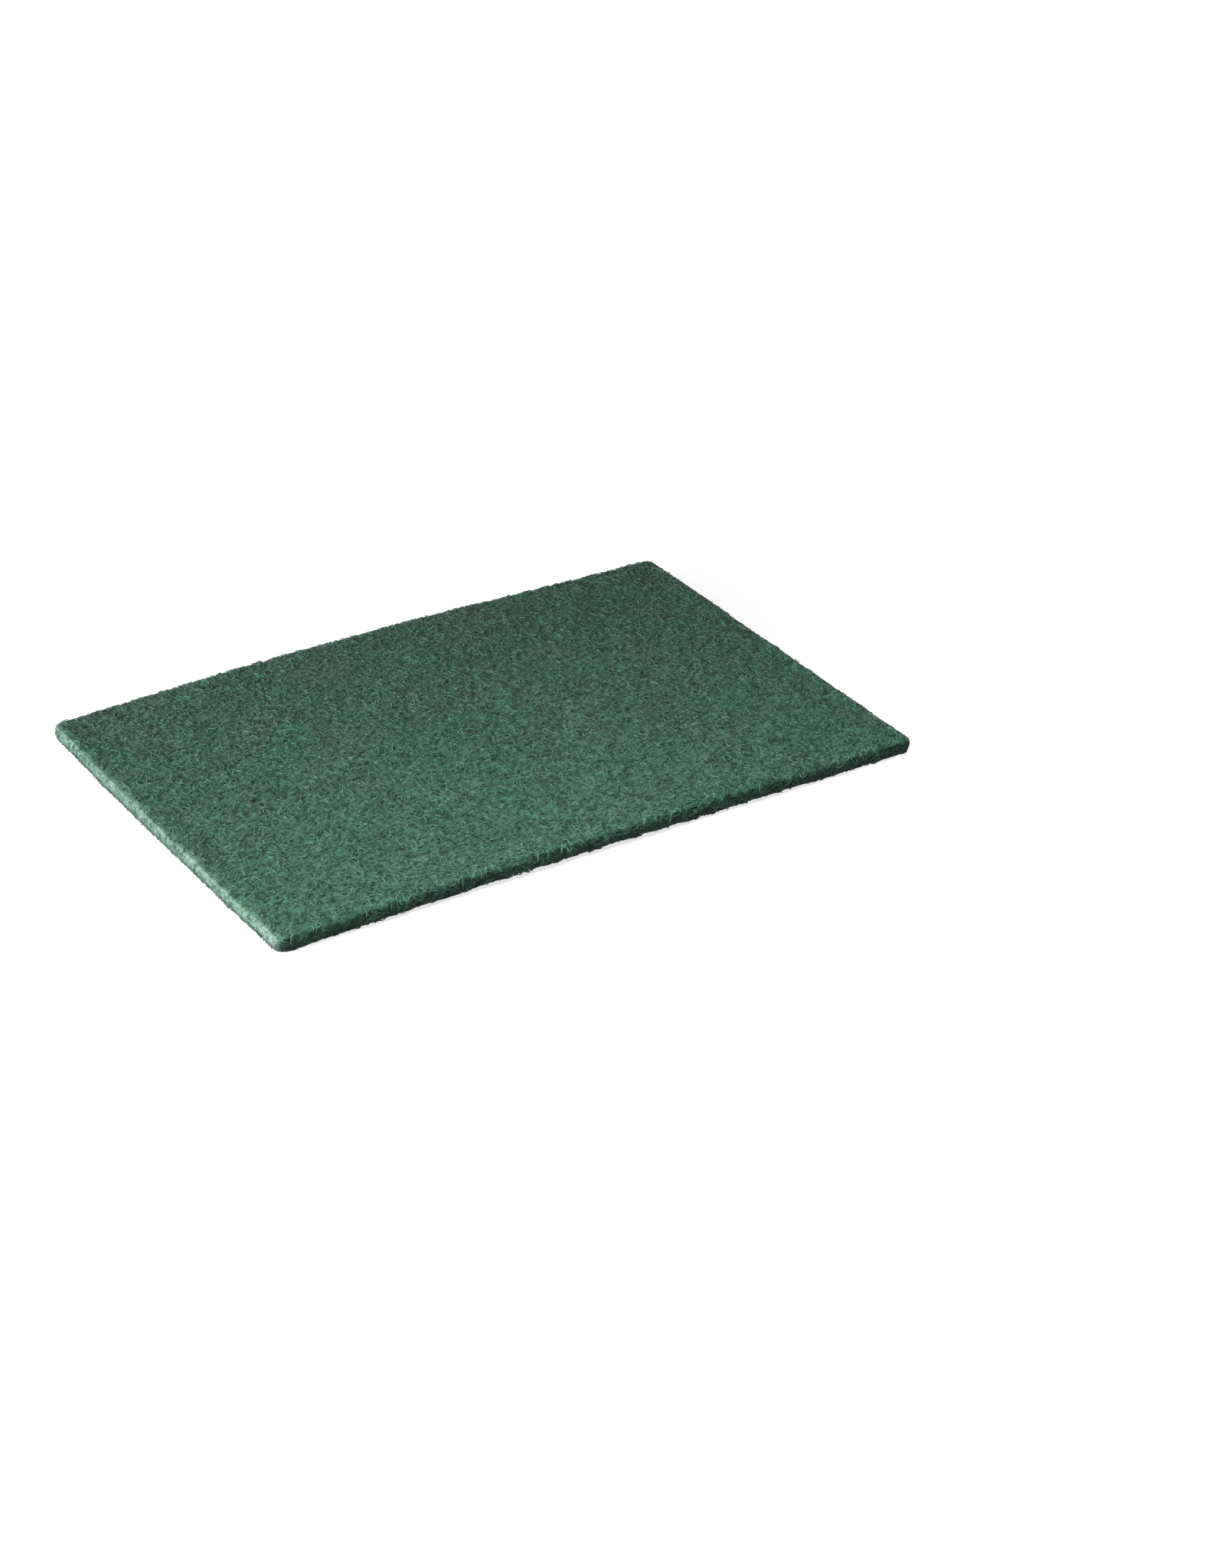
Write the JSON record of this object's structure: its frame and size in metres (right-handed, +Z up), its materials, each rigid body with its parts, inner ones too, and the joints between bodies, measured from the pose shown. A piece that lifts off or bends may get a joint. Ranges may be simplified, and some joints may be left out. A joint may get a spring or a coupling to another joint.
{
  "type": "nylon scouring pad",
  "caption": "Flat rectangular scouring pad of dark green non-woven nylon web, with knife-cut edges, slightly rounded corners and a shallow arch along its length.",
  "frame": {"origin": "middle of the bottom face of the bounding box, on the surface that the pad lies on", "axes": "+X along the length, +Y towards the long edge that arches highest, +Z up through the thickness"},
  "size_m": [0.2296, 0.1526, 0.0082],
  "materials": {
    "nylon_web": "matt, open web of crimped nylon fibres bonded with resin and fine grit, dark green"
  },
  "bodies": {
    "root": {"scouring_pad": "nylon_web"}
  },
  "joints": []
}
